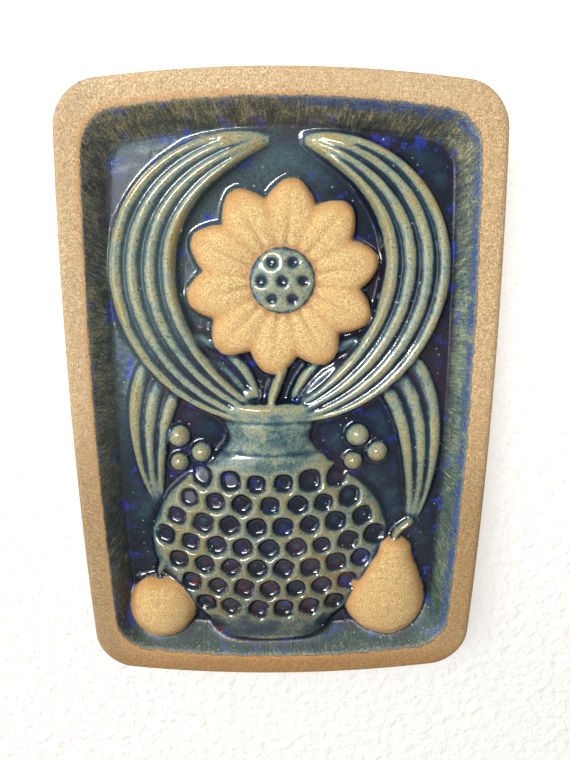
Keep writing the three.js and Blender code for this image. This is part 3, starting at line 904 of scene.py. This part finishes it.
    def normal(self):
        """Relief too fine for the mesh, in layers of a strength, a height in metres and a pattern."""
        glazed = self.math("SUBTRACT", 1.0, self.clay)
        sand = self.times(self.total(self.grain, self.fine_grain), self.clay)
        wall_runs = self.times(self.total(self.strokes, self.fine_grain), self.wall, glazed)
        sand_below = self.times(self.grain, glazed)
        waves = self.times(self.noise(self.place, 110, 2), glazed)
        bump = None
        for strength, height, pattern in (
            (0.9, 0.00032, sand),
            (0.5, 0.0004, wall_runs),
            (0.12, 0.0003, sand_below),
            (0.5, 0.0007, waves),
            (0.8, 0.0003, glazed),
        ):
            node = self.add("ShaderNodeBump", Strength=strength, Distance=height, Height=pattern)
            if bump:
                self.put(node, "Normal", bump.outputs[0])
            bump = node
        return bump.outputs[0]

    def shaded(self):
        colour = self.mix(self.clay, self.glaze_colour(), self.clay_colour())
        glaze_roughness = self.total(self.times(self.wall, 0.44), self.times(self.dimples, 0.2), 0.06)
        roughness = self.add("ShaderNodeMix", i0=self.clay, i2=glaze_roughness, i3=0.85).outputs[0]
        shader = self.add("ShaderNodeBsdfPrincipled", Base_Color=colour, Roughness=roughness, IOR=1.52)
        self.put(shader, "Normal", self.normal())
        return self.finished(shader)


plate.data.materials.append(Stoneware().shaded())
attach(plate, "root")
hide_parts("wall_plate")


def plane(name, width, depth, location, rotation, material):
    mesh = bpy.data.meshes.new(name)
    w, d = width / 2, depth / 2
    mesh.from_pydata([(-w, -d, 0), (w, -d, 0), (w, d, 0), (-w, d, 0)], [], [(0, 1, 2, 3)])
    thing = bpy.data.objects.new(name, mesh)
    thing.location = location
    thing.rotation_euler = rotation
    mesh.materials.append(material)
    bpy.context.collection.objects.link(thing)
    return thing


def painted_wall():
    """Pale plaster that shows only from the room's side, with painted light: darker downwards, and a faint
    glow that pales the plate's shadow.
    """
    n = Nodes("pale_wall")
    place = n.add("ShaderNodeTexCoord").outputs["Object"]
    bump = n.add("ShaderNodeBump", Strength=1.0, Distance=0.003, Height=n.noise(place, 210, 3, 0.5))
    height = n.add("ShaderNodeSeparateXYZ", Vector=place).outputs["Y"]
    # Painted light falling off: the plaster darker towards the bottom
    colour = n.mix(n.band(height, 0.1, -0.16), (0.62, 0.62, 0.61), (0.36, 0.36, 0.35))
    paint = n.add("ShaderNodeBsdfPrincipled", Base_Color=colour, Roughness=0.85, Normal=bump.outputs[0])
    # A painted glow, which lifts the plate's shadow on the plaster
    n.put(paint, "Emission_Color", (1, 0.95, 0.88, 1))
    n.put(paint, "Emission_Strength", 0.5)
    clear = n.add("ShaderNodeBsdfTransparent")
    behind = n.add("ShaderNodeNewGeometry").outputs["Backfacing"]
    return n.finished(n.add("ShaderNodeMixShader", i0=behind, i1=paint.outputs[0], i2=clear.outputs[0]))


def pale_floor():
    n = Nodes("pale_floor")
    return n.finished(n.add("ShaderNodeBsdfPrincipled", Base_Color=(0.8, 0.79, 0.77, 1), Roughness=0.8))


BEHIND_PLATE = 0.0003
wall = plane("wall", 3.0, 3.0, (0, BEHIND_PLATE, -0.1), (math.pi / 2, 0, 0), painted_wall())
for ray in ("visible_diffuse", "visible_glossy", "visible_transmission", "visible_shadow"):
    setattr(wall, ray, False)
floor = plane("floor", 8, 8, (0, 0, -1.2), (0, 0, 0), pale_floor())


def softbox(name, location, target, size, watts, colour=(1, 1, 1)):
    light = bpy.data.lights.new(name, "AREA")
    light.shape = "RECTANGLE"
    light.size, light.size_y = size
    light.energy = watts
    light.color = colour
    lamp = bpy.data.objects.new(name, light)
    lamp.location = location
    aim = Vector(target) - Vector(location)
    lamp.rotation_euler = aim.to_track_quat("-Z", "Y").to_euler()
    bpy.context.collection.objects.link(lamp)
    return lamp


middle = (0, -0.015, -MIDDLE_BELOW_ORIGIN)
SKY_BLUE = (0.84, 0.92, 1)
window = softbox("window", (-0.6, -1.05, 0.45), middle, (0.95, 0.95), 23.5, (1, 0.99, 0.97))
window.visible_glossy = False
softbox("bright_room", (-0.95, -1.5, 0.4), middle, (1.5, 0.85), 11, SKY_BLUE)
softbox("back_fill_left", (-0.9, 1.1, 0.5), middle, (1.2, 1.2), 14)
softbox("back_fill_right", (1.1, 0.8, 0.3), middle, (1.2, 1.2), 10)
# Seen only where the glaze mirrors them
low_room = softbox("low_room", (-0.95, -1.5, -0.24), middle, (1.5, 0.5), 6.5, SKY_BLUE)
glint = softbox("glint", (-0.31, -0.69, 0.24), middle, (0.46, 0.11), 11)
sheen = softbox("sheen", (-0.36, -0.72, 0.26), middle, (0.5, 0.36), 2.3)
for mirrored in (low_room, glint, sheen):
    mirrored.visible_diffuse = False

world = bpy.data.worlds.new("studio")
world.use_nodes = True
background = world.node_tree.nodes["Background"]
background.inputs["Color"].default_value = (0.95, 0.97, 1.0, 1)
background.inputs["Strength"].default_value = 0.4
bpy.context.scene.world = world
bpy.context.scene.view_settings.view_transform = "Standard"

# The photograph's viewpoint, in metres and radians: close, above the middle and looking down
FOCAL_PIXELS = 600
LONG_SIDE_PIXELS = 760
SENSOR_WIDTH = 36
CAMERA_TO_WALL = 0.2422
CAMERA_ABOVE_MIDDLE = 0.0647
CAMERA_LEFT_OF_MIDDLE = 0.00229
LOOKS_DOWN_BY = 0.244
LOOKS_RIGHT_BY = 0.015
camera_data = bpy.data.cameras.new("camera")
camera_data.sensor_width = SENSOR_WIDTH
camera_data.lens = SENSOR_WIDTH * FOCAL_PIXELS / LONG_SIDE_PIXELS
camera = bpy.data.objects.new("camera", camera_data)
camera_height = CAMERA_ABOVE_MIDDLE - MIDDLE_BELOW_ORIGIN
camera.location = (-CAMERA_LEFT_OF_MIDDLE, -CAMERA_TO_WALL, camera_height)
camera.rotation_euler = (math.pi / 2 - LOOKS_DOWN_BY, 0, -LOOKS_RIGHT_BY)
bpy.context.collection.objects.link(camera)
bpy.context.scene.camera = camera
